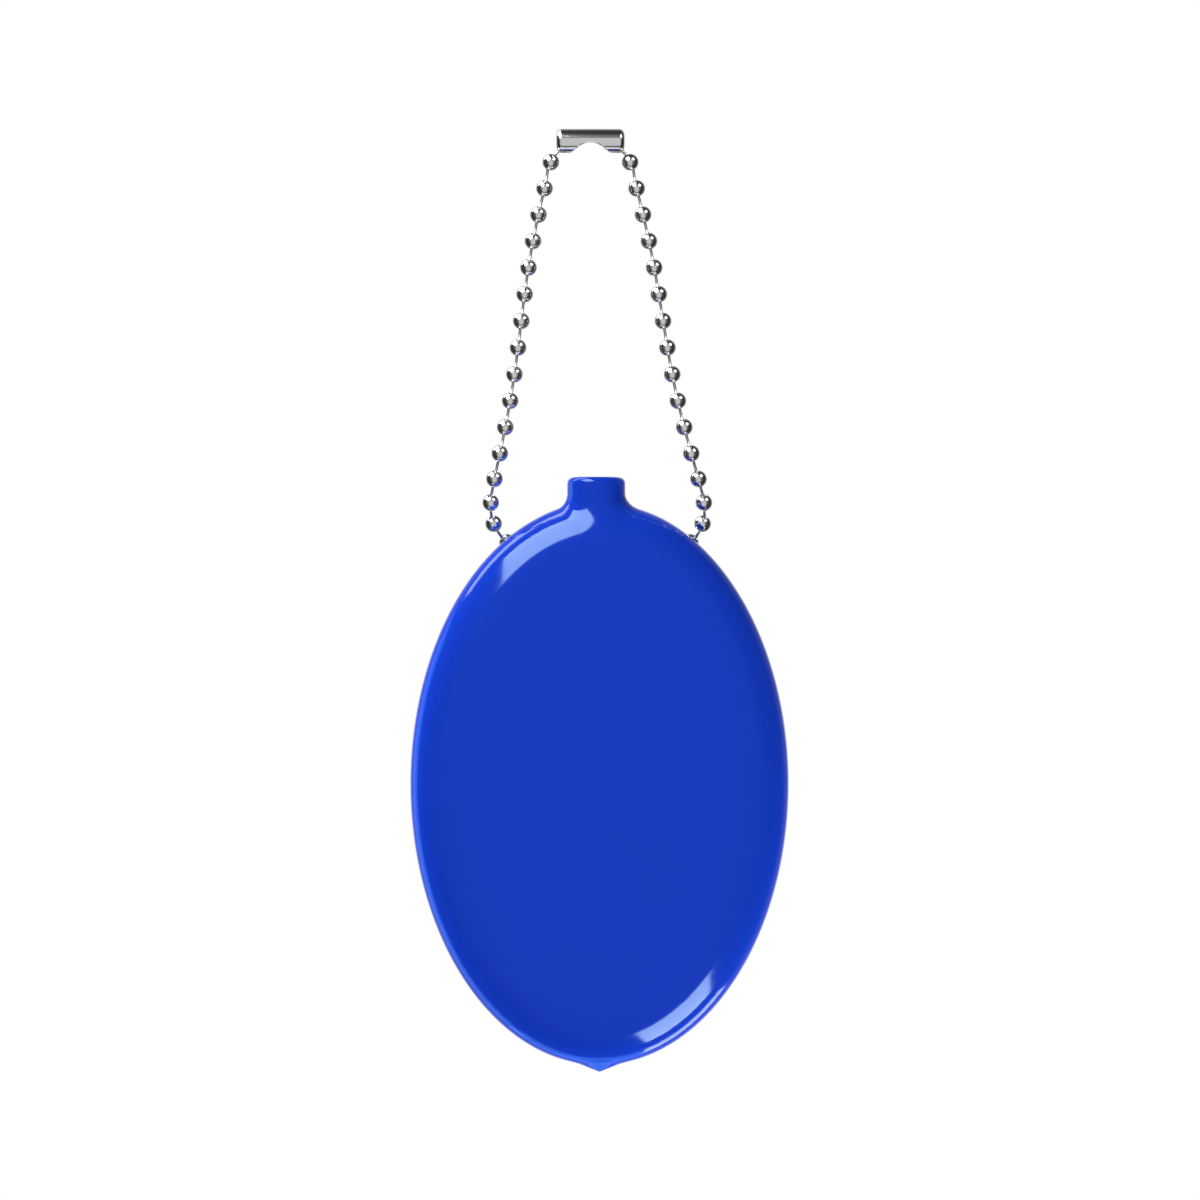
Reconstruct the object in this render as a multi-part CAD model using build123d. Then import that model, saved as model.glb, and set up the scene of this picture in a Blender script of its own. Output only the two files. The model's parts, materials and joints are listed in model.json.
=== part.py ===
from build123d import *
import math
import os

# Squeeze coin purse on a loop of ball chain, hanging as it would from a hook.
#
# The purse is one dip-moulded vinyl shell with a round neck at the top, a small drip nub at the
# bottom and a slit down the back. Squeezing its two ends opens the slit, so the back wall beside
# the slit is made as two lips that swing out from the shell. The chain enters the back wall
# through two punched holes and crosses the inside of the purse between them. Its two ends snap
# into a tubular coupling at the top of the loop.
#
# Millimetres, +Z up. The front of the purse faces -Y. The origin is the top of the notch under
# the coupling, the point where a hook or a key ring bears.

# ---- driving dimensions: purse ----
purse_width = 52.6
purse_height = 78.2            # the oval, without its neck and nub
purse_end_radius = 21.0        # the oval's tightest radius, at its top and bottom
purse_depth = 12.0
rim_width = 7.0                # how far in from the outline the faces turn flat
wall = 1.8
neck_diameter = 8.1
neck_rise = 3.5                # above the top of the oval
flare_width = 2.4              # how far the foot of the neck spreads over the shoulders
flare_height = 2.2
neck_edge = 0.5                # chamfer round the top of the neck
nub_width = 7.2
nub_drop = 0.9                 # below the bottom of the oval
slit_length = 57.0
slit_gap = 0.25                # lets the free edges swing past each other
lip_width = 16.0               # from the slit to the line where a lip bends
lip_end_radius = 9.0
seam_gap = 0.1                 # between a lip and the shell round it
slit_below_middle = 1.8        # the slit's middle sits this far below the oval's
hole_drop = 7.4                # from the top of the oval to the chain holes
hole_clearance = 0.6           # round a bead in its hole

# ---- driving dimensions: ball chain ----
bead_diameter = 2.4
bead_wall = 0.28
bead_hole_radius = 0.36
bead_pitch = 3.75              # between neighbouring beads of a taut chain
wire_radius = 0.17             # of a link's shank
head_radius = 0.43             # of a link's heads, held inside the beads
head_thickness = 0.24
head_depth = 0.5               # from the middle of a bead's hole to the head behind it
run_gap = 0.5                  # between the beads inside the purse and its back wall
loop_lean = 1.25               # how far the coupling hangs to the left of the purse's middle

# ---- driving dimensions: coupling ----
coupling_length = 9.7
coupling_diameter = 3.4
coupling_wall = 0.3
coupling_edge = 0.5
notch_radius = 2.6             # of the arch cut across the coupling, where a ball enters
notch_depth = 1.6              # from the underside of the coupling to the top of the arch
slot_width = 1.0               # the slot that the links' shanks slide along
seat_gap = 0.15                # between an end bead and the end of the coupling

# ---- how finely the round forms are faceted ----
outer_bands = 4
inner_bands = 2
bead_sides = 8
bead_latitudes = (-64, -32, 0, 32, 64)
link_sides = 4

# ---- the route of one strand, link by link ----
# Each link has a spread, its angle out from the vertical seen from the front, and a dip, its
# angle towards the back. Down to the purse the strand bows out evenly. Then it passes behind
# the shoulder and turns in to its hole.
exit_spread = 38
straight_links = 11
mean_spread = 10.9
bow_spread = 2.9
turn = ((14, 14), (11.5, 27), (-5, 39), (-35, 33), (-65, 2), (-84, -35))

strand_beads = 1 + straight_links + len(turn)      # the last one lies in the hole
bead_radius = bead_diameter / 2
half_depth = purse_depth / 2
hole_reach = bead_radius * math.sin(math.radians(bead_latitudes[-1])) - bead_wall / 2
coupling_radius = coupling_diameter / 2
coupling_z = coupling_radius - notch_depth
seat_x = coupling_length / 2 - coupling_wall - seat_gap - bead_radius


# ---------------------------------------------------------------- chain route
def link_angles(index):
    """Spread and dip of one link, in degrees. Link 1 leaves the coupling."""
    if index == 1:
        return exit_spread, 0
    if index <= 1 + straight_links:
        phase = 2 * math.pi * (index - 2) / straight_links
        return mean_spread + bow_spread * math.cos(phase), 0
    return turn[index - 2 - straight_links]


def strand_route():
    """Bead centres of the right strand, from its seat in the coupling to its hole."""
    points = [Vector(seat_x, 0, coupling_z)]
    for index in range(1, strand_beads + 1):
        spread, dip = (math.radians(angle) for angle in link_angles(index))
        step = Vector(
            math.sin(spread) * math.cos(dip),
            math.sin(dip),
            -math.cos(spread) * math.cos(dip),
        )
        points.append(points[-1] + step * bead_pitch)
    return points


right_route = strand_route()
hole = right_route[-1]
purse_y = hole.Y - half_depth + wall / 2
run_y = purse_y + half_depth - wall - run_gap - bead_radius
run_x = hole.X - math.sqrt(bead_pitch**2 - (hole.Y - run_y) ** 2)
oval_top = hole.Z + hole_drop
oval_middle = oval_top - purse_height / 2
purse_place = Pos(loop_lean, purse_y, oval_middle)


def leaned(point):
    """The loop hangs a little to the left, more so towards the coupling."""
    share = min(point.Z / hole.Z, 1)
    return Vector(point.X + loop_lean * share**2, point.Y, point.Z)


def whole_route():
    """Bead centres of the closed loop, from the left end bead to the right one."""
    right = right_route + [Vector(run_x, run_y, hole.Z)]
    left = [Vector(-p.X, p.Y, p.Z) for p in right]
    middle = [Vector(0, run_y, hole.Z)]
    return [leaned(p) for p in left + middle + right[::-1]]


# ---------------------------------------------------------------- ball chain
def ring_points(radius, height, sides):
    step = 2 * math.pi / sides
    return [
        (radius * math.cos(i * step), radius * math.sin(i * step), height)
        for i in range(sides)
    ]


def ball():
    """A hollow bead standing on its axis, with a hole at each pole."""
    points = []
    for latitude in bead_latitudes:
        angle = math.radians(latitude)
        ring = bead_radius * math.cos(angle)
        points += ring_points(ring, bead_radius * math.sin(angle), bead_sides)
    end = bead_radius * math.sin(math.radians(bead_latitudes[-1])) - bead_wall
    hollow = ring_points(bead_radius - bead_wall, 0, link_sides)
    for height in (-end, end):
        hollow += ring_points(head_radius + 0.15, height, link_sides)
    bore = extrude(RegularPolygon(bead_hole_radius, link_sides), bead_radius, both=True)
    return ConvexPolyhedron(points) - ConvexPolyhedron(hollow) - bore


def link(length):
    """A dumbbell link along Z whose shank spans from one bead's hole to the next one's."""
    head = extrude(RegularPolygon(head_radius, link_sides), head_thickness / 2, both=True)
    reach = length / 2 + head_depth
    shank = extrude(RegularPolygon(wire_radius, link_sides), reach, both=True)
    return shank + Pos(0, 0, reach) * head + Pos(0, 0, -reach) * head


def along(point, direction):
    """A place whose Z runs along a direction and whose X stays level."""
    side = direction.cross(Vector(0, 1, 0))
    return Location(Plane(origin=point, x_dir=side, z_dir=direction))


route = whole_route()
last = len(route) - 1
middle = last // 2


def bead_axis(index):
    """From the bead before to the bead after; an end bead faces its only neighbour."""
    before = route[max(index - 1, 0)]
    after = route[min(index + 1, last)]
    return (after - before).normalized()


def link_ends(index):
    """The hole middles that the link from bead index to bead index + 1 spans between."""
    start = route[index] + bead_axis(index) * hole_reach
    end = route[index + 1] - bead_axis(index + 1) * hole_reach
    return start, end


def placed_ball(index):
    return along(route[index], bead_axis(index)) * ball()


def placed_link(index):
    start, end = link_ends(index)
    return along((start + end) / 2, end - start) * link((end - start).length)


def bead_name(index):
    """Beads are numbered down each strand from the coupling."""
    if index == middle:
        return "bead_middle"
    side = "left" if index < middle else "right"
    number = index if index < middle else last - index
    return f"end_bead_{side}" if number == 0 else f"bead_{side}_{number:02d}"


def bead_node(index):
    """A bead with the link that it hangs from, or for the middle bead both of its links."""
    solids = [placed_ball(index)]
    if 0 < index <= middle:
        solids.append(placed_link(index - 1))
    if middle <= index < last:
        solids.append(placed_link(index))
    return Compound(children=[Solid(s.solids()[0].wrapped) for s in solids])


# ---------------------------------------------------------------- coupling
def coupling():
    """A rolled tube with closed ends, an arched notch underneath and a slot out to each end."""
    along_x = Pos(0, 0, coupling_z) * Rot(0, 90, 0)
    tube = chamfer(Cylinder(coupling_radius, coupling_length).edges(), coupling_edge)
    bore = Cylinder(coupling_radius - coupling_wall, coupling_length - 2 * coupling_wall)
    tube = along_x * (tube - bore)
    notch = Pos(0, 0, -notch_radius) * Rot(90, 0, 0) * Cylinder(notch_radius, coupling_diameter * 2)
    slot = Pos(0, 0, coupling_z) * Box(
        coupling_length + 1,
        slot_width,
        coupling_diameter,
        align=(Align.CENTER, Align.CENTER, Align.MAX),
    )
    return tube - notch - slot


# ---------------------------------------------------------------- purse
def oval(half_width, half_height, end_radius, y=0):
    """An oval of four tangent arcs, facing along Y."""
    rise = half_height - end_radius
    side_radius = (half_width**2 + rise**2 - end_radius**2) / (2 * (half_width - end_radius))
    run = side_radius - half_width
    reach = math.hypot(run, rise)
    x = end_radius * run / reach
    z = rise + end_radius * rise / reach
    arcs = [
        ThreePointArc((-x, z), (0, half_height), (x, z)),
        ThreePointArc((x, z), (half_width, 0), (x, -z)),
        ThreePointArc((x, -z), (0, -half_height), (-x, -z)),
        ThreePointArc((-x, -z), (-half_width, 0), (-x, z)),
    ]
    return Plane.XZ.offset(-y) * make_face(Curve() + arcs)


def dipped_form(skin, bands):
    """The closed oval form, skin inside the outer surface: flat faces and a round rim."""
    sections = []
    for step in range(-bands, bands + 1):
        angle = math.pi / 2 * step / bands
        inset = skin + (rim_width - skin) * (1 - math.cos(angle))
        sections.append(
            oval(
                purse_width / 2 - inset,
                purse_height / 2 - inset,
                purse_end_radius - inset,
                (half_depth - skin) * math.sin(angle),
            )
        )
    return loft(sections, ruled=True)


def neck(radius, bottom):
    top = purse_height / 2 + neck_rise
    return Pos(0, 0, bottom) * Cylinder(
        radius, top - bottom, align=(Align.CENTER, Align.CENTER, Align.MIN)
    )


def flare():
    """The concave spread at the foot of the neck, wider along the shoulders than across."""
    foot = purse_height / 2 + 1.0 - flare_height
    rings = []
    for rise, spread in ((0, 1), (0.5, 0.35), (1, 0.04)):
        rings.append(
            [
                (
                    (neck_diameter / 2 + flare_width * spread) * x,
                    (neck_diameter / 2 + flare_width * spread / 5) * y,
                    foot + flare_height * rise,
                )
                for x, y, _ in ring_points(1, 0, 20)
            ]
        )
    below = [(x * 0.9, y * 0.9, z - 1) for x, y, z in rings[0]]
    return ConvexPolyhedron(below + rings[0] + rings[1]) + ConvexPolyhedron(rings[1] + rings[2])


def drip_nub():
    """A shallow point left by the last drop of vinyl."""
    bottom = -purse_height / 2
    sides = 12
    points = [(0, 0, bottom - nub_drop)]
    for i in range(sides):
        angle = 2 * math.pi * i / sides
        x = nub_width / 2 * math.cos(angle)
        y = nub_width / 4 * math.sin(angle)
        points += [(x, y, bottom + 0.3), (x * 0.8, y * 0.8, bottom + wall)]
    return ConvexPolyhedron(points)


def whole_shell():
    """The moulding before it is slit, centred on the oval."""
    radius = neck_diameter / 2
    body = dipped_form(0, outer_bands)
    stem = chamfer(
        neck(radius, purse_height / 2 - rim_width).edges().group_by(Axis.Z)[-1], neck_edge
    )
    body = body + stem + flare() + drip_nub()
    cavity = dipped_form(wall, inner_bands)
    return body - cavity - neck(radius - wall, purse_height / 2 - rim_width)


def lip_outline(gap):
    face = oval(lip_width + gap, slit_length / 2 + gap, lip_end_radius + gap)
    block = Pos(0, half_depth, 0) * extrude(face, wall, both=True)
    return Pos(0, 0, -slit_below_middle) * block


def chain_holes():
    radius = bead_radius + hole_clearance
    place = Pos(hole.X, half_depth, hole.Z - oval_middle) * Rot(90, 0, 0)
    right = place * Cylinder(radius, 3 * wall)
    return right + mirror(right, Plane.YZ)


def shell(moulding):
    return purse_place * (moulding - lip_outline(seam_gap) - chain_holes())


def lip(moulding, side):
    """One lip of the slit; side is -1 for the left and 1 for the right."""
    half = Pos(side * (lip_width + slit_gap) / 2, 0, -slit_below_middle) * Box(
        lip_width, 2 * purse_depth, slit_length
    )
    return purse_place * (moulding & lip_outline(0) & half)


# ---------------------------------------------------------------- files
def write(name, shape):
    solids = shape.solids()
    body = solids[0] if len(solids) == 1 else Compound(children=list(solids))
    export_step(body, f"parts/{name}.step")


os.makedirs("parts", exist_ok=True)
moulding = whole_shell()
write("shell", shell(moulding))
write("left_lip", lip(moulding, -1))
write("right_lip", lip(moulding, 1))
write("coupling", coupling())
for index in range(last + 1):
    write(bead_name(index), bead_node(index))
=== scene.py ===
import bpy, bmesh, json, math
import numpy as np
from mathutils import Matrix, Vector


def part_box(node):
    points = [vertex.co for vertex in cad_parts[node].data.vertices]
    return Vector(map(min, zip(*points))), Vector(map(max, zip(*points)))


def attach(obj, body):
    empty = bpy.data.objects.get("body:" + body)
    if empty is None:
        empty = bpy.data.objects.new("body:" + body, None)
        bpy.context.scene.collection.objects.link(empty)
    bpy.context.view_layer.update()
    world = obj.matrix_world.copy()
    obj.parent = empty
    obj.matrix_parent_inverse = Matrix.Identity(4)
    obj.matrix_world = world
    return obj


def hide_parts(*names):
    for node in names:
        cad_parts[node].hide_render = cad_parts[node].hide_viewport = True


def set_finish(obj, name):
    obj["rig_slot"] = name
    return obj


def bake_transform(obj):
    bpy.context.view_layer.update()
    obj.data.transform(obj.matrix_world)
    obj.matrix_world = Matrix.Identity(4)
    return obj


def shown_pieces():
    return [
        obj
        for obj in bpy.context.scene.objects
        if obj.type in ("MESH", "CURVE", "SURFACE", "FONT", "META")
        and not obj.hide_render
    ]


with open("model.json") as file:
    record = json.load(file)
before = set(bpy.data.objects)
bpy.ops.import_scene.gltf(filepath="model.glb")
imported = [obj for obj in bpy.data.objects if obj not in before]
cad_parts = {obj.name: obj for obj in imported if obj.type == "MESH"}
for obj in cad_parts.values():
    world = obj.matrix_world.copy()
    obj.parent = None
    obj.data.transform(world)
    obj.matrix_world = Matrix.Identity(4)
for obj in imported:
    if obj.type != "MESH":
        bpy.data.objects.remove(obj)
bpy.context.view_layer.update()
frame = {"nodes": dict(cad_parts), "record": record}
MM = 0.001

# ------------------------------------------------------------------ numbers, in mm
RIM = 7.2                     # the round rim, measured in from the outline
EDGE_DEPTH = 5.45             # half depth of the faces beside the rim
CROWN = 0.55                  # how much the middle of the faces stands out further
WALL = 1.8

NECK_R = 4.05
NECK_RISE = 3.5
NECK_EDGE = 0.9               # the round edge at the neck's top
NECK_LEAN = 0.45              # the neck stands a little left of the middle
NECK_MELT = 17.0              # how softly neck and shoulders run together
BORE_R = 2.25

NUB_R = 3.9                   # the drip nub at the bottom, half width where it starts
NUB_DROP = 0.95               # how far it reaches below the oval
NUB_SOLID_DROP = 0.9          # how far the CAD solid's nub reaches
NUB_ROOT = 0.55               # how far above the oval's bottom it is at its full width
NUB_TOP = 1.5                 # where it ends above the oval's bottom
NUB_FLAT = 0.35
NUB_MELT = 1.5

LIP_W, LIP_H = 16.0, 28.5     # half width and half height of the two lips together
LIP_LOW = 1.8                 # the slit's middle sits this far below the oval's
SLIT_HALF = 0.12
HOLE_R, HOLE_X = 1.8, 6.34    # the two holes in the back that the chain goes through
HOLE_DROP = 7.4

BEAD_R = 1.2
BEAD_MOUTH = 66               # degrees of latitude at which a bead turns in to its hole
WIRE_R = 0.2
LINK_REACH = 0.95             # from a bead's middle to the visible end of its link
LINK_HEAD = ((0.02, 0.62), (0.3, 0.6), (0.38, 0.48), (0.3, 0.36), (WIRE_R, 0.3))

TUBE_WALL = 0.3               # the coupling
TUBE_EDGE = 0.75              # the round edges of its ends
NOTCH_R = 2.6
NOTCH_FLARE = 0.55            # how far the notch's foot turns outwards
SLOT_HALF = 0.45

SHARP_VINYL, SHARP_TUBE = 35, 40   # degrees from which an edge is drawn sharp

low, high = (Vector(c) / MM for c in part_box("shell"))
AX = (low.x + high.x) / 2
AY = (low.y + high.y) / 2
A = (high.x - low.x) / 2
TOP = high.z - NECK_RISE
BOTTOM = low.z + NUB_SOLID_DROP
B = (TOP - BOTTOM) / 2
CZ = (TOP + BOTTOM) / 2


# ------------------------------------------------------------------ materials
def material(name, colour, **inputs):
    m = bpy.data.materials.new(name)
    m.use_nodes = True
    b = m.node_tree.nodes["Principled BSDF"]
    b.inputs["Base Color"].default_value = (*colour, 1)
    for key, value in inputs.items():
        b.inputs[key.replace("_", " ")].default_value = value
    return m, m.node_tree.nodes, m.node_tree.links, b


def texture(nodes, links, scale):
    """Fine noise in the piece's own coordinates."""
    coord = nodes.new("ShaderNodeTexCoord")
    noise = nodes.new("ShaderNodeTexNoise")
    noise.inputs["Scale"].default_value = scale
    noise.inputs["Detail"].default_value = 2.0
    links.new(coord.outputs["Object"], noise.inputs["Vector"])
    return noise


def tinted(nodes, links, bsdf, noise, dark, light):
    """Lets the base colour drift between two shades."""
    mix = nodes.new("ShaderNodeMix")
    mix.data_type = "RGBA"
    mix.inputs["A"].default_value = (*dark, 1)
    mix.inputs["B"].default_value = (*light, 1)
    links.new(noise.outputs["Fac"], mix.inputs["Factor"])
    links.new(mix.outputs["Result"], bsdf.inputs["Base Color"])


def bumped(nodes, links, bsdf, noise, strength, distance):
    """A slight unevenness of the surface."""
    bump = nodes.new("ShaderNodeBump")
    bump.inputs["Strength"].default_value = strength
    bump.inputs["Distance"].default_value = distance
    links.new(noise.outputs["Fac"], bump.inputs["Height"])
    links.new(bump.outputs["Normal"], bsdf.inputs["Normal"])


vinyl, vn, vl, vb = material("blue_vinyl", (0.006, 0.036, 0.435), Roughness=0.1, IOR=1.43)
vb.inputs["Specular Tint"].default_value = (0.6, 0.84, 1.0, 1)
tinted(vn, vl, vb, texture(vn, vl, 40), (0.0058, 0.035, 0.425), (0.0062, 0.037, 0.445))
bumped(vn, vl, vb, texture(vn, vl, 90), 0.05, 0.0004)

chrome, cn, cl, cb = material("nickel_bead", (0.86, 0.86, 0.85), Metallic=1.0, Roughness=0.17)
tinted(cn, cl, cb, texture(cn, cl, 900), (0.82, 0.82, 0.81), (0.9, 0.9, 0.89))

drawn, dn, dl, db = material("nickel_tube", (0.84, 0.84, 0.83), Metallic=1.0, Roughness=0.13)
tinted(dn, dl, db, texture(dn, dl, 900), (0.8, 0.8, 0.79), (0.88, 0.88, 0.87))
bumped(dn, dl, db, texture(dn, dl, 700), 0.07, 0.0002)

wire, wn, wl, wb = material("nickel_wire", (0.66, 0.66, 0.65), Metallic=1.0, Roughness=0.3)
tinted(wn, wl, wb, texture(wn, wl, 1500), (0.6, 0.6, 0.59), (0.72, 0.72, 0.71))


# ------------------------------------------------------------------ the purse's form
def inset(x, z):
    """How far a point lies inside the oval, by the family of ovals of equal inset."""
    lo = np.full(np.broadcast(x, z).shape, -60.0)
    hi = np.full(lo.shape, A - 1e-4)
    for _ in range(48):
        mid = (lo + hi) / 2
        inside = (x / (A - mid)) ** 2 + (z / (B - mid)) ** 2 < 1
        lo = np.where(inside, mid, lo)
        hi = np.where(inside, hi, mid)
    return (lo + hi) / 2


def face_depth(x, z):
    """Half depth of the slightly crowned faces."""
    q = (x / LIP_W) ** 2 + ((z + LIP_LOW) / LIP_H) ** 2
    return EDGE_DEPTH + CROWN * (1 - q / 3)


def melted(a, b, k):
    """The larger of two fields, run together softly over a difference of k."""
    h = np.clip(k - np.abs(a - b), 0, None) / k
    return np.maximum(a, b) + h * h * k / 4


def depth2(x, z):
    """The square of the half depth over a point of the front, below zero outside."""
    i = inset(x, z)
    rim = 1 - (1 - np.minimum(i / RIM, 1)) ** 2
    body = face_depth(x, z) ** 2 * rim
    up = np.clip((z - (B + NECK_RISE - NECK_EDGE)) / NECK_EDGE, 0, 1)
    r = NECK_R - NECK_EDGE * (1 - np.sqrt(np.clip(1 - up**2, 0, None)))
    neck = r**2 - x**2 - 4 * np.clip(B - 5 - z, 0, None) ** 2
    nub_r = NUB_R * np.clip((z + B + NUB_DROP) / (NUB_DROP + NUB_ROOT), 0, 1)
    nub = (nub_r**2 - x**2) * NUB_FLAT
    nub = np.where(z < -B + NUB_TOP, nub, -50)
    return melted(melted(body, neck, NECK_MELT), nub, NUB_MELT)


def reach(z):
    """Half width of the silhouette at each height."""
    lo = np.zeros_like(z)
    hi = np.full_like(z, A + 2)
    for _ in range(40):
        mid = (lo + hi) / 2
        inside = depth2(mid, z) > 0
        lo = np.where(inside, mid, lo)
        hi = np.where(inside, hi, mid)
    return lo


def heights():
    """Heights of the slices, closer together where the outline runs flat."""
    turn = math.pi * 0.93
    t = np.linspace(0, 1, 120)[1:]
    body = -B + (2 * B - 1.2) * (1 - np.cos(turn * t)) / (1 - math.cos(turn))
    nub = np.linspace(-B - NUB_DROP + 0.01, body[0], 10)[:-1]
    neck = np.linspace(B - 1.2, B + NECK_RISE - NECK_EDGE, 26)[1:]
    edge = neck[-1] + NECK_EDGE * np.sin(np.linspace(0, math.pi / 2, 9))[1:]
    tips = LIP_H * np.array([1, 0.9996, 0.9985, 0.9965, 0.9935, 0.989, 0.983])
    tips = np.concatenate([-LIP_LOW - tips, -LIP_LOW + tips])
    body = body[np.abs(body[:, None] - tips[None, :]).min(1) > 0.08]
    return np.sort(np.concatenate([nub, body, neck, edge, tips]))


Z = heights()
X = reach(Z)
LIP = LIP_W * np.sqrt(np.clip(1 - ((Z + LIP_LOW) / LIP_H) ** 2, 0, None))


def surface(x, z, side):
    """Points of the front, side -1, or of the back, side 1, over a grid of the oval."""
    y = side * np.sqrt(np.clip(depth2(x, z), 0, None))
    up = np.clip((z - B + 2.5) / 3.5, 0, 1)
    return np.stack([AX + x - NECK_LEAN * up * up * (3 - 2 * up), AY + y, CZ + z], -1)


def add(verts, name, faces, mat, body):
    """Makes a piece of points in mm and lets it ride on a body."""
    mesh = bpy.data.meshes.new(name)
    mesh.from_pydata([tuple(v * MM) for v in verts], [], faces)
    mesh.validate()
    mesh.materials.append(mat)
    obj = bpy.data.objects.new(name, mesh)
    bpy.context.collection.objects.link(obj)
    b = bmesh.new()
    b.from_mesh(mesh)
    bmesh.ops.remove_doubles(b, verts=b.verts, dist=2e-6)
    bmesh.ops.dissolve_degenerate(b, edges=b.edges, dist=1e-6)
    b.to_mesh(mesh)
    b.free()
    for p in mesh.polygons:
        p.use_smooth = True
    if body:
        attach(obj, body)
    return obj


def grid_faces(rows, columns, start=0, flip=False):
    out = []
    for r in range(rows - 1):
        for c in range(columns - 1):
            a = start + r * columns + c
            f = (a, a + 1, a + columns + 1, a + columns)
            out.append(f[::-1] if flip else f)
    return out


def wall(obj):
    """Gives a skin the vinyl's thickness, towards the inside."""
    s = obj.modifiers.new("wall", "SOLIDIFY")
    s.thickness = WALL * MM
    s.offset = -1


def sharp(obj, angle):
    e = obj.modifiers.new("edges", "EDGE_SPLIT")
    e.split_angle = math.radians(angle)


def cutter(verts, faces):
    """A closed solid that is cut out of a piece and then removed."""
    mesh = bpy.data.meshes.new("cutter")
    mesh.from_pydata([tuple(Vector(v) * MM) for v in verts], [], faces)
    b = bmesh.new()
    b.from_mesh(mesh)
    bmesh.ops.recalc_face_normals(b, faces=b.faces)
    b.to_mesh(mesh)
    b.free()
    obj = bpy.data.objects.new("cutter", mesh)
    bpy.context.collection.objects.link(obj)
    return obj


def along_y(outline, front, back):
    """A prism through the outline's points, from front to back."""
    n = len(outline)
    verts = [(x, front, z) for x, z in outline] + [(x, back, z) for x, z in outline]
    faces = [tuple(range(n)), tuple(range(2 * n - 1, n - 1, -1))]
    faces += [(i, (i + 1) % n, n + (i + 1) % n, n + i) for i in range(n)]
    return cutter(verts, faces)


def settled(obj, cutters=()):
    """Cuts the shapes out of the piece and applies every modifier on it."""
    for c in cutters:
        m = obj.modifiers.new("cut", "BOOLEAN")
        m.operation = "DIFFERENCE"
        m.solver = "EXACT"
        m.object = c
    bpy.context.view_layer.update()
    done = bpy.data.meshes.new_from_object(
        obj.evaluated_get(bpy.context.evaluated_depsgraph_get()))
    obj.modifiers.clear()
    obj.data = done
    for c in cutters:
        bpy.data.objects.remove(c)
    for p in obj.data.polygons:
        p.use_smooth = True


def purse_shell():
    """The front and the ring round the lips, one skin, which wall() then makes thick towards the
    inside.
    """
    verts, faces = [], []
    u = np.linspace(-math.pi / 2, math.pi / 2, 73)
    x = X[:, None] * np.sin(u)[None, :]
    z = np.repeat(Z[:, None], len(u), 1)
    verts += list(surface(x, z, -1).reshape(-1, 3))
    faces += grid_faces(len(Z), len(u))
    for side in (1, -1):
        start = len(verts)
        s = np.linspace(0, 1, 31)
        inner = np.arcsin(np.clip(LIP / X, 0, 1))
        angle = math.pi / 2 + (inner[:, None] - math.pi / 2) * s[None, :]
        x = side * X[:, None] * np.sin(angle)
        z = np.repeat(Z[:, None], len(s), 1)
        verts += list(surface(x, z, 1).reshape(-1, 3))
        faces += grid_faces(len(Z), len(s), start, flip=side < 0)
    start = len(verts)
    ring = np.linspace(0, 2 * math.pi, 97)
    for r in np.linspace(float(X[-1]), BORE_R, 5):
        for a in ring:
            x, y = AX - NECK_LEAN + r * math.sin(a), AY + r * math.cos(a)
            verts.append(np.array([x, y, CZ + Z[-1]]))
    faces += grid_faces(5, len(ring), start, flip=True)
    return add(verts, "purse_shell", faces, vinyl, "purse")


def purse_lip(side, name):
    """One lip, over the whole of the back's crown, from the slit out to the shell."""
    zs = Z[np.abs(Z + LIP_LOW) <= LIP_H + 1e-9]
    width = LIP_W * np.sqrt(np.clip(1 - ((zs + LIP_LOW) / LIP_H) ** 2, 0, None))
    s = np.linspace(0, 1, 25)
    x = side * (SLIT_HALF + (width[:, None] - SLIT_HALF).clip(0) * s[None, :])
    z = np.repeat(zs[:, None], len(s), 1)
    verts = list(surface(x, z, 1).reshape(-1, 3))
    obj = add(verts, name, grid_faces(len(zs), len(s), flip=side > 0), vinyl, None)
    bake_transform(obj)
    return obj


def chain_hole(side):
    turns = np.linspace(0, 2 * math.pi, 49)[:-1]
    z = TOP - HOLE_DROP
    x = AX + side * HOLE_X
    outline = [(x + HOLE_R * math.cos(a), z + HOLE_R * math.sin(a)) for a in turns]
    return along_y(outline, AY + 1.5, AY + 9)


shell = purse_shell()
wall(shell)
settled(shell, [chain_hole(-1), chain_hole(1)])
sharp(shell, SHARP_VINYL)
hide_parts("shell")
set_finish(shell, "vinyl")
for side, name in ((-1, "left_lip"), (1, "right_lip")):
    lip = purse_lip(side, "purse_" + name)
    wall(lip)
    sharp(lip, SHARP_VINYL)
    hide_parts(name)
    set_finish(lip, "vinyl")


# ------------------------------------------------------------------ ball chain
def ball_centre(node):
    """The middle of a node's ball: its largest set of joined facets."""
    mesh = frame["nodes"][node].data
    key = [tuple(round(c * 1e6) for c in v.co) for v in mesh.vertices]
    root = {k: k for k in key}

    def find(k):
        while root[k] != k:
            root[k] = root[root[k]]
            k = root[k]
        return k

    for p in mesh.polygons:
        first = find(key[p.vertices[0]])
        for v in p.vertices[1:]:
            root[find(key[v])] = first
    sets = {}
    for k in root:
        sets.setdefault(find(k), []).append(k)
    ball = max(sets.values(), key=len)
    points = np.array(ball, float) / 1e6 / MM
    return Vector((points.max(0) + points.min(0)) / 2)


def lathe(profile, place, sides):
    """Turns a profile of radii and heights about the place's axis."""
    verts, faces = [], []
    for r, h in profile:
        for i in range(sides):
            a = 2 * math.pi * i / sides
            verts.append(np.array(place @ Vector((r * math.cos(a), r * math.sin(a), h))))
    for j in range(len(profile) - 1):
        for i in range(sides):
            k = (i + 1) % sides
            faces.append((j * sides + i, j * sides + k, (j + 1) * sides + k, (j + 1) * sides + i))
    return verts, faces


def standing(point, direction):
    """A place at a point, its axis along a direction."""
    turn = direction.to_track_quat("Z", "Y").to_matrix().to_4x4()
    return Matrix.Translation(point) @ turn


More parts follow.
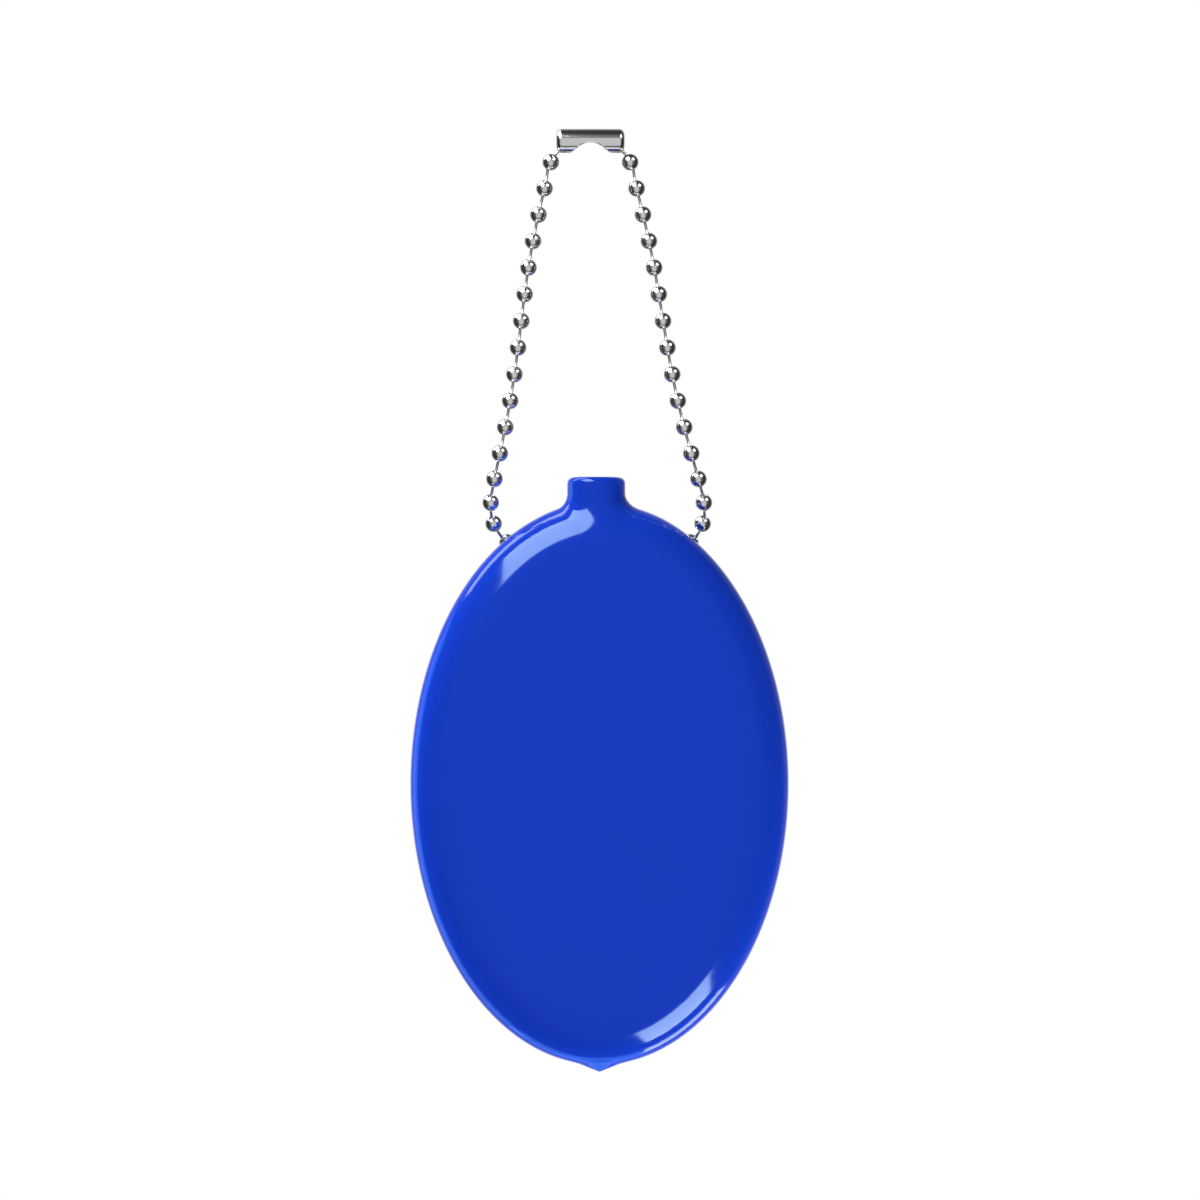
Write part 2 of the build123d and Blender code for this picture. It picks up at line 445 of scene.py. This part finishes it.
def ball_profile():
    end = math.radians(BEAD_MOUTH)
    arc = [(BEAD_R * math.cos(t), BEAD_R * math.sin(t)) for t in np.linspace(-end, end, 19)]
    r, h = arc[-1]
    tail = [(r - 0.07, h + 0.015), (r - 0.12, h - 0.05), (r - 0.13, h - 0.22)]
    return [(a, -b) for a, b in tail[::-1]] + arc + tail


def chain_piece(name, node, body, centre, axis, links):
    """A bead, and the links that ride with it."""
    verts, faces = lathe(ball_profile(), standing(centre, axis), 28)
    obj = add(verts, name, faces, chrome, body)
    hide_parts(node)
    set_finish(obj, "chain")
    for k, (start, end) in enumerate(links):
        d = (end - start).normalized()
        length = (end - start).length / 2
        side = [(r, length + h - 0.1) for r, h in LINK_HEAD]
        profile = [(r, -h) for r, h in side] + side[::-1]
        verts, faces = lathe(profile, standing((start + end) / 2, d), 14)
        part = add(verts, f"{name}_link{k}" if k else name + "_link", faces, wire, body)
        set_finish(part, "chain")


def body_holding(node):
    bodies = frame["record"]["behaviour"]["bodies"]
    return next(body for body, nodes in bodies.items() if node in nodes)


BEADS_A_SIDE = 19
left = ["end_bead_left"] + [f"bead_left_{i:02d}" for i in range(1, BEADS_A_SIDE + 1)]
right = ["end_bead_right"] + [f"bead_right_{i:02d}" for i in range(1, BEADS_A_SIDE + 1)]
chain = left + ["bead_middle"] + right[::-1]
centres = [ball_centre(n) for n in chain]
middle = BEADS_A_SIDE + 1


def axis_at(i):
    """The chain's direction through ball i."""
    return (centres[min(i + 1, len(chain) - 1)] - centres[max(i - 1, 0)]).normalized()


def link_between(i):
    """Where the link from ball i to ball i + 1 leaves and enters."""
    return centres[i] + axis_at(i) * LINK_REACH, centres[i + 1] - axis_at(i + 1) * LINK_REACH


for i, node in enumerate(chain):
    links = []
    if 0 < i <= middle:
        links.append(link_between(i - 1))
    if middle <= i < len(chain) - 1:
        links.append(link_between(i))
    chain_piece("ball_" + node, node, body_holding(node), centres[i], axis_at(i), links)


# ------------------------------------------------------------------ coupling
def coupling():
    """A tube with round ends, an arched notch across it and a slot along its underside."""
    lo, hi = (Vector(c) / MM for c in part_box("coupling"))
    half = (hi.x - lo.x) / 2
    r = (hi.y - lo.y) / 2
    z0 = hi.z - r
    sides = 72
    cap = [
        (r - TUBE_EDGE + TUBE_EDGE * math.sin(a), half - 0.1 - TUBE_EDGE * (1 - math.cos(a)))
        for a in np.linspace(0.1, math.pi / 2, 9)
    ]
    outer = [(0.02, half), (r * 0.35, half - 0.02)] + cap
    outer += [(rr, -h) for rr, h in outer[::-1]]
    inner = [(max(rr - TUBE_WALL, 0.01), h * (half - TUBE_WALL) / half) for rr, h in outer]
    place = Matrix.Translation((0, 0, z0)) @ Matrix.Rotation(math.pi / 2, 4, "Y")
    verts, faces = lathe(outer, place, sides)
    n = len(verts)
    more, again = lathe(inner, place, sides)
    faces = [f[::-1] for f in faces] + [tuple(v + n for v in f) for f in again]
    for ring, turned in ((0, 1), (len(outer) - 1, 0)):
        f = tuple(ring * sides + i for i in range(sides))
        faces.append(f if turned else f[::-1])
        faces.append(tuple(v + n for v in (f[::-1] if turned else f)))
    obj = add(verts + more, "coupling_tube", faces, drawn, "coupling")
    fall = np.linspace(0.02, 1.8, 24)
    flare = NOTCH_FLARE * np.clip((fall - 0.75) / 0.85, 0, 1) ** 2
    arch = np.sqrt(NOTCH_R**2 - (NOTCH_R - fall) ** 2) + flare
    side = [(float(w), -float(d)) for w, d in zip(arch, fall)]
    notch = [(-w, z) for w, z in side[::-1]] + side + [(4, -3), (-4, -3)]
    past, below = half * 1.2, z0 - 5
    slot = [(-past, z0), (past, z0), (past, below), (-past, below)]
    settled(obj, [along_y(notch, -4, 4), along_y(slot, -SLOT_HALF, SLOT_HALF)])
    sharp(obj, SHARP_TUBE)
    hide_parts("coupling")
    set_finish(obj, "chain")


coupling()

# ------------------------------------------------------------------ camera, light, backdrop
SCALE = 0.139                 # mm of the object in one pixel of the photograph
PICTURE = 1200                # pixels on a side of it
ORIGIN_X, ORIGIN_Y = 590.5, 141.7   # the pixel that the part's origin falls on
CAMERA_AWAY = 900.0
LAMP_AWAY = 0.8               # metres from the purse's middle to each lamp

cam_data = bpy.data.cameras.new("camera")
cam = bpy.data.objects.new("camera", cam_data)
bpy.context.collection.objects.link(cam)
across, up = (PICTURE / 2 - ORIGIN_X) * SCALE, (ORIGIN_Y - PICTURE / 2) * SCALE
cam.location = Vector((across, -CAMERA_AWAY, up)) * MM
cam.rotation_euler = (math.pi / 2, 0, 0)
cam_data.sensor_width = 36
cam_data.lens = cam_data.sensor_width * CAMERA_AWAY / (PICTURE * SCALE)
cam_data.clip_end = 20
bpy.context.scene.camera = cam


def lamp(name, polar, turn, across, along, level, tint=(0.96, 1.02, 1.04)):
    """A soft box polar degrees off the camera's side, turned round from +X towards +Z.

    Its size is in metres and its level is the light it gives for its area.
    """
    p, t = math.radians(polar), math.radians(turn)
    d = Vector((math.sin(p) * math.cos(t), -math.cos(p), math.sin(p) * math.sin(t)))
    x = Vector((-math.sin(t), 0, math.cos(t)))
    data = bpy.data.lights.new(name, "AREA")
    data.shape = "RECTANGLE"
    data.size = across
    data.size_y = along
    data.energy = level * math.pi * across * along
    data.color = tint
    obj = bpy.data.objects.new(name, data)
    bpy.context.collection.objects.link(obj)
    obj.visible_camera = False
    place = Vector((AX, AY, CZ)) * MM + d * LAMP_AWAY
    turned = Matrix((x, d.cross(x), d)).transposed().to_4x4()
    obj.matrix_world = Matrix.Translation(place) @ turned
    return obj


def lit_only(lamps, name, slot):
    """Lets lamps light the pieces of one slot alone."""
    chosen = bpy.data.collections.new(name)
    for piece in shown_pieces():
        if piece.get("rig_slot") == slot:
            chosen.objects.link(piece)
    for obj in lamps:
        obj.light_linking.receiver_collection = chosen


EDGE_BLUE = (0.25, 0.72, 1.75)   # the thin line of light round the left edge and the nub
lamp("upper_left", 63, 120.5, 0.42, 0.6, 12.0)
lamp("upper_left_back", 108, 126, 0.6, 0.18, 6.0)
for side, turn, level in (("left", 210, 8.5), ("right", -10, 2.5)):
    rim = lamp("rim_" + side, 118, turn, 1.1, 0.3, level)
    rim.visible_glossy = False
vinyl_lamps = [
    lamp("lower_right", 67, -55, 0.4, 0.46, 13.0),
    lamp("lower_right_back", 111, -55, 0.42, 0.2, 7.0),
    lamp("left_panel", 118, 195, 1.2, 0.34, 1.5, EDGE_BLUE),
    lamp("low_panel", 116, 262, 0.74, 0.34, 1.5, EDGE_BLUE),
]
chain_lamps = [
    lamp("chain_front", 10, -90, 0.9, 1.3, 0.42, (1, 1, 1)),
    lamp("chain_right", 62, 50, 0.36, 0.4, 3.0, (1, 1, 1)),
    lamp("chain_low", 75, -95, 0.8, 0.3, 0.8, (1, 1, 1)),
]
lit_only(vinyl_lamps, "vinyl_set", "vinyl")
lit_only(chain_lamps, "chain_set", "chain")

# The room from in front of the part to behind it: place along the way and level of grey.
ROOM = ((0.08, 0.19), (0.3, 0.035), (0.66, 0.035), (0.8, 0.3), (0.94, 0.3))
BACKDROP_FROM, BACKDROP_FULL = 0.72, 0.95   # where the white backdrop shows in reflections

world = bpy.data.worlds.new("studio")
bpy.context.scene.world = world
world.use_nodes = True
nodes, links = world.node_tree.nodes, world.node_tree.links
coord = nodes.new("ShaderNodeTexCoord")
split = nodes.new("ShaderNodeSeparateXYZ")
links.new(coord.outputs["Generated"], split.inputs["Vector"])
ramp = nodes.new("ShaderNodeValToRGB")
ramp.color_ramp.interpolation = "EASE"
steps = ramp.color_ramp.elements
steps[0].position, steps[1].position = ROOM[0][0], ROOM[-1][0]
for position, grey in ROOM[1:-1]:
    steps.new(position)
for step, (position, grey) in zip(steps, ROOM):
    step.color = (grey, grey, grey, 1)
shift = nodes.new("ShaderNodeMath")
shift.operation = "MULTIPLY_ADD"
shift.inputs[1].default_value = 0.5
shift.inputs[2].default_value = 0.5
links.new(split.outputs["Y"], shift.inputs[0])
links.new(shift.outputs["Value"], ramp.inputs["Fac"])
room = nodes["Background"]
links.new(ramp.outputs["Color"], room.inputs["Color"])
white = nodes.new("ShaderNodeBackground")
white.inputs["Color"].default_value = (1, 1, 1, 1)
path = nodes.new("ShaderNodeLightPath")
mix = nodes.new("ShaderNodeMixShader")
behind = nodes.new("ShaderNodeMapRange")
behind.interpolation_type = "SMOOTHSTEP"
behind.inputs["From Min"].default_value = BACKDROP_FROM
behind.inputs["From Max"].default_value = BACKDROP_FULL
links.new(split.outputs["Y"], behind.inputs["Value"])


def joined(operation, a, b):
    node = nodes.new("ShaderNodeMath")
    node.operation = operation
    links.new(a, node.inputs[0])
    links.new(b, node.inputs[1])
    return node.outputs["Value"]


# The camera sees the white backdrop all round; gloss and glass see it where it stands.
mirror = joined("MAXIMUM", path.outputs["Is Glossy Ray"], path.outputs["Is Transmission Ray"])
seen = joined("MULTIPLY", mirror, behind.outputs["Result"])
links.new(joined("MAXIMUM", path.outputs["Is Camera Ray"], seen), mix.inputs["Fac"])
links.new(room.outputs["Background"], mix.inputs[1])
links.new(white.outputs["Background"], mix.inputs[2])
links.new(mix.outputs["Shader"], nodes["World Output"].inputs["Surface"])

FLOOR_DROP = 300              # mm from the coupling down to the floor, below the picture
FLOOR_R = 0.28                # metres
floor_mesh = bpy.data.meshes.new("floor")
b = bmesh.new()
bmesh.ops.create_circle(b, cap_ends=True, segments=96, radius=FLOOR_R)
b.to_mesh(floor_mesh)
b.free()
floor = bpy.data.objects.new("floor", floor_mesh)
bpy.context.collection.objects.link(floor)
floor.location = (0, 0, -FLOOR_DROP * MM)
for ray in ("diffuse", "glossy", "shadow"):
    setattr(floor, "visible_" + ray, False)
pale, pn, pl, pb = material("pale_floor", (0.9, 0.9, 0.9), Roughness=0.8)
tinted(pn, pl, pb, texture(pn, pl, 12), (0.89, 0.89, 0.89), (0.91, 0.91, 0.91))
floor_mesh.materials.append(pale)

scene = bpy.context.scene
scene.view_settings.view_transform = "Standard"
